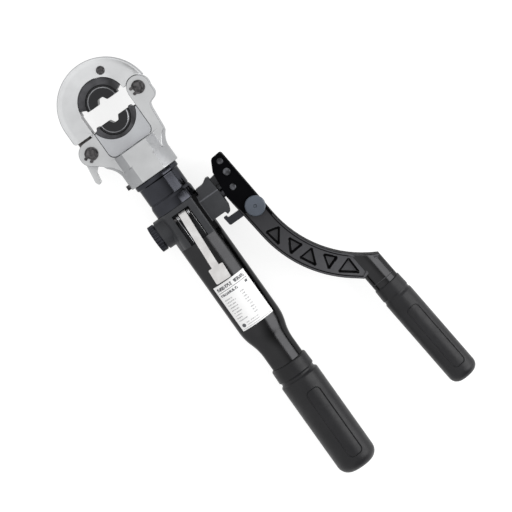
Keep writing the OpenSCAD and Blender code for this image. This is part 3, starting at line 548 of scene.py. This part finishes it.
def coat(piece, material, chosen):
    """Gives a material to the faces that chosen says yes to."""
    piece.data.materials.append(materials[material])
    index = len(piece.data.materials) - 1
    for face in piece.data.polygons:
        if chosen(face):
            face.material_index = index


for node, piece in nodes.items():
    show(piece, node)

rounded = {node: eased(node, width_mm * MM) for node, width_mm in EASED_MM.items()}


# Head: faces that look far enough along Z keep the satin steel, and the rest get a darker steel,
# painted shade on the flanks and rim

YOKE_FACE_LIMIT = 0.95
JAW_FACE_LIMIT = 0.6

coat(rounded["head_yoke"], "flank_shade_steel", lambda face: abs(face.normal.z) < YOKE_FACE_LIMIT)
coat(rounded["upper_jaw"], "flank_shade_steel", lambda face: abs(face.normal.z) < JAW_FACE_LIMIT)


# Valve block: a web under the fulcrum ear, and painted shade on the flank towards the fork
# The ear, eye and plunger have the sizes that they have in the part's source.

EAR_R = 7.5 * MM
EYE_W = 17 * MM
PLUNGER_R = 5 * MM
WEB_GAP = 0.3 * MM
WEB_LAP = 1.5 * MM
BLOCK_FLANK = 19.2 * MM
FACES_RIGHT = 0.7
gland_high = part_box("pump_gland")[1]
eye_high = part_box("pump_plunger")[1]


def add_web(block):
    """Fills the corner between the gland, the plunger, its eye and the ear."""
    low = Vector((
        gland_high.x + WEB_GAP,
        middle("pump_gland").y + PLUNGER_R + WEB_GAP,
        -eye_high.z,
    ))
    high = Vector((
        eye_high.x - EYE_W - WEB_GAP,
        middle("fulcrum_pin").y - EAR_R + WEB_LAP,
        eye_high.z,
    ))
    bm = bmesh.new()
    bm.from_mesh(block.data)
    place = Matrix.Translation((low + high) / 2) @ Matrix.Diagonal((*(high - low), 1))
    bmesh.ops.create_cube(bm, size=1, matrix=place)
    bm.to_mesh(block.data)
    bm.free()


def front_flank(face):
    """True on the faces that look at the fork from in front of the gland."""
    on_flank = face.center.x > BLOCK_FLANK and face.normal.x > FACES_RIGHT
    return on_flank and face.center.z > gland_high.z


add_web(rounded["valve_block"])
# Painted shade: the block's flank towards the fork is coloured near-black
coat(rounded["valve_block"], "wall_painted_shade", front_flank)


# Handle arm: painted shade on the walls, then a fork painted near-black as shade, then a glossy
# round socket over both

SOCKET_R = 13 * MM
SOCKET_REACH = 19 * MM
SOCKET_ROUND = 0.95
ARM_WALL = 0.95
SOCKET_WALL = 0.5


def long_axis(node):
    """Centre and direction of a long node."""
    points = numpy.array([vert.co for vert in nodes[node].data.vertices])
    centre = points.mean(axis=0)
    along = numpy.linalg.svd(points - centre, full_matrices=False)[2][0]
    return Vector(centre), Vector(along)


tube_mid, tube_along = long_axis("handle_tube")
fork_from = middle("lock_knob").y


def off_tube(face):
    """From the handle tube's axis straight out to the face."""
    out = face.center - tube_mid
    return out - tube_along * out.dot(tube_along)


def arm_wall(face):
    limit = ARM_WALL if off_tube(face).length > SOCKET_REACH else SOCKET_WALL
    return abs(face.normal.z) < limit


def arm_fork(face):
    return face.center.y > fork_from


def arm_socket(face):
    out = off_tube(face)
    return out.length > SOCKET_R and out.normalized().dot(face.normal) > SOCKET_ROUND


# Painted shade: the arm's walls and its fork are coloured near-black
coat(rounded["handle_arm"], "wall_painted_shade", arm_wall)
coat(rounded["handle_arm"], "fork_painted_shade", arm_fork)
coat(rounded["handle_arm"], "gloss_black", arm_socket)


# Springs

WIRE_SIDES = 12
TURN_STEPS = 32
RAM_WIRE = 2.4 * MM
RAM_TURNS = 5
LEVER_WIRE = 1.1 * MM
LEVER_COILS = 1.75
LEVER_PITCH = 1.6 * MM
LEG_STEPS = 16
LEG_SLOPE = 0.09


def add_wire(bm, path, radius):
    """A round wire along the path, closed at its ends."""
    points = [Vector(point) for point in path]
    ends = zip([points[0]] + points, points[1:] + [points[-1]])
    side = (points[1] - points[0]).orthogonal()
    rings = []
    for at, (before, after) in zip(points, ends):
        along = (after - before).normalized()
        side = (side - along * side.dot(along)).normalized()
        up = along.cross(side)
        angles = [2 * math.pi * k / WIRE_SIDES for k in range(WIRE_SIDES)]
        rings.append([
            bm.verts.new(at + (side * math.cos(angle) + up * math.sin(angle)) * radius)
            for angle in angles
        ])
    for near, far in zip(rings, rings[1:]):
        for k in range(WIRE_SIDES):
            n = (k + 1) % WIRE_SIDES
            bm.faces.new((near[k], near[n], far[n], far[k]))
    bm.faces.new(reversed(rings[0]))
    bm.faces.new(rings[-1])


def wires(name, node, paths, wire):
    """Wires of the given thickness that stand for the node."""
    bm = bmesh.new()
    for path in paths:
        add_wire(bm, path, wire / 2)
    bmesh.ops.recalc_face_normals(bm, faces=bm.faces)
    return stand_in(name, smooth_mesh(name, bm), node)


def ram_path(low, high):
    """A helix about the Y axis that fills the box from low to high."""
    radius = high.x - RAM_WIRE / 2
    first, last = low.y + RAM_WIRE / 2, high.y - RAM_WIRE / 2
    steps = RAM_TURNS * TURN_STEPS
    for i in range(steps + 1):
        angle = 2 * math.pi * RAM_TURNS * i / steps
        along = first + (last - first) * i / steps
        yield radius * math.cos(angle), along, radius * math.sin(angle)


def lever_path(side, low, high, pin):
    """Coils about the lever's pin, then a straight leg down the lever."""
    radius = high.y - pin.y - LEVER_WIRE / 2
    half = (high.x - low.x) / 2 - LEVER_WIRE / 2 - LEVER_COILS * LEVER_PITCH
    start = (low.x + high.x) / 2 + side * half
    count = int(LEVER_COILS * TURN_STEPS)
    for i in range(count + 1):
        angle = 2 * math.pi * (count - i) / TURN_STEPS - math.pi / 2
        across = start + side * LEVER_PITCH * i / TURN_STEPS
        yield across, pin.y + radius * math.cos(angle), pin.z + radius * math.sin(angle)
    leg_x = start + side * LEVER_PITCH * LEVER_COILS
    for i in range(1, LEG_STEPS + 1):
        run = (pin.y - low.y) * i / LEG_STEPS
        yield leg_x, pin.y - run, pin.z - radius - LEG_SLOPE * run


foot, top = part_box("ram_spring")
ram_coil = wires("ram_spring_coil", "ram_spring", [ram_path(foot, top)], RAM_WIRE)
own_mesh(ram_coil)

lever_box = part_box("lever_springs")
lever_paths = [lever_path(side, *lever_box, middle("lever_pin")) for side in (-1, 1)]
wires("lever_spring_wires", "lever_springs", lever_paths, LEVER_WIRE)


# Studio

SKY_AXIS = (0.83, -0.557, 0)
SKY_SPAN = (-0.3, 0.8)
SKY_LIGHT = (1.1, 0.1)
FLOOR_GAP = 0.3 * MM
FLOOR_HALF = 6
PAPER = (0.3, 0.3, 0.3, 1)
PAPER_GLOW = 0.82
SENSOR = 36.0
FOCAL_PX = 2276.3
FRAME_PX = 512
CAMERA_AT = Vector((0.16868, -0.02938, 2.4882))
CAMERA_AIM = Vector((0.03828, -0.23395, 0))
CAMERA_ROLL = math.radians(35.23)


def aim(obj, place, target, roll=0.0):
    """Puts obj at place, looking at target with its own up turned by roll about the view."""
    ahead = (target - place).normalized()
    right = ahead.cross(Vector((math.sin(roll), math.cos(roll), 0))).normalized()
    up = right.cross(ahead)
    turn = Matrix((right, up, -ahead)).transposed()
    obj.matrix_world = Matrix.Translation(place) @ turn.to_4x4()


def softbox(name, place, target, width, height, radiance):
    lamp = bpy.data.lights.new(name, "AREA")
    lamp.shape = "RECTANGLE"
    lamp.size = width
    lamp.size_y = height
    lamp.energy = radiance * math.pi * width * height
    aim(placed(name, lamp), Vector(place), Vector(target))


def studio_sky():
    """White light from all round that fades along SKY_AXIS."""
    world = bpy.data.worlds.new("studio")
    world.use_nodes = True
    graph = Graph(world.node_tree)
    facing = graph.add("ShaderNodeVectorMath")
    facing.operation = "DOT_PRODUCT"
    facing.inputs[1].default_value = SKY_AXIS
    graph.join(graph.add("ShaderNodeTexCoord").outputs["Generated"], facing.inputs[0])
    strength = graph.between(facing.outputs["Value"], SKY_SPAN, SKY_LIGHT, "SMOOTHSTEP")
    background = graph.tree.nodes["Background"]
    background.inputs["Color"].default_value = WHITE
    graph.join(strength, background.inputs["Strength"])
    return world


def paper():
    """Matt sheet that glows to the camera and in reflections, and still keeps the shadow."""
    material = bpy.data.materials.new("paper")
    material.use_nodes = True
    graph = Graph(material.node_tree)
    graph.tree.nodes.clear()
    rays = graph.add("ShaderNodeLightPath").outputs
    seen = graph.math("MAXIMUM", rays["Is Camera Ray"], rays["Is Glossy Ray"])
    seen = graph.math("MAXIMUM", seen, rays["Is Transmission Ray"])
    matt = graph.add("ShaderNodeBsdfDiffuse")
    matt.inputs["Color"].default_value = PAPER
    glow = graph.add("ShaderNodeEmission")
    graph.join(graph.math("MULTIPLY", seen, PAPER_GLOW), glow.inputs["Strength"])
    total = graph.add("ShaderNodeAddShader")
    graph.join(matt.outputs["BSDF"], total.inputs[0])
    graph.join(glow.outputs["Emission"], total.inputs[1])
    out = graph.add("ShaderNodeOutputMaterial")
    graph.join(total.outputs["Shader"], out.inputs["Surface"])
    return material


softbox(
    "softbox_right", place=(1.05, -0.765, 0.62), target=(0.02, -0.765, 0.0),
    width=1.22, height=1.2, radiance=4.2,
)
bpy.context.scene.world = studio_sky()

bm = bmesh.new()
bmesh.ops.create_grid(bm, x_segments=1, y_segments=1, size=FLOOR_HALF)
floor = placed("floor", smooth_mesh("floor", bm))
floor.location = (0, 0, cad_box[0].z - FLOOR_GAP)
floor.data.materials.append(paper())

lens = bpy.data.cameras.new("camera")
lens.sensor_width = SENSOR
lens.lens = FOCAL_PX * SENSOR / FRAME_PX
camera = placed("camera", lens)
aim(camera, CAMERA_AT, CAMERA_AIM, CAMERA_ROLL)
bpy.context.scene.camera = camera
bpy.context.scene.view_settings.view_transform = "Standard"

bpy.context.view_layer.update()
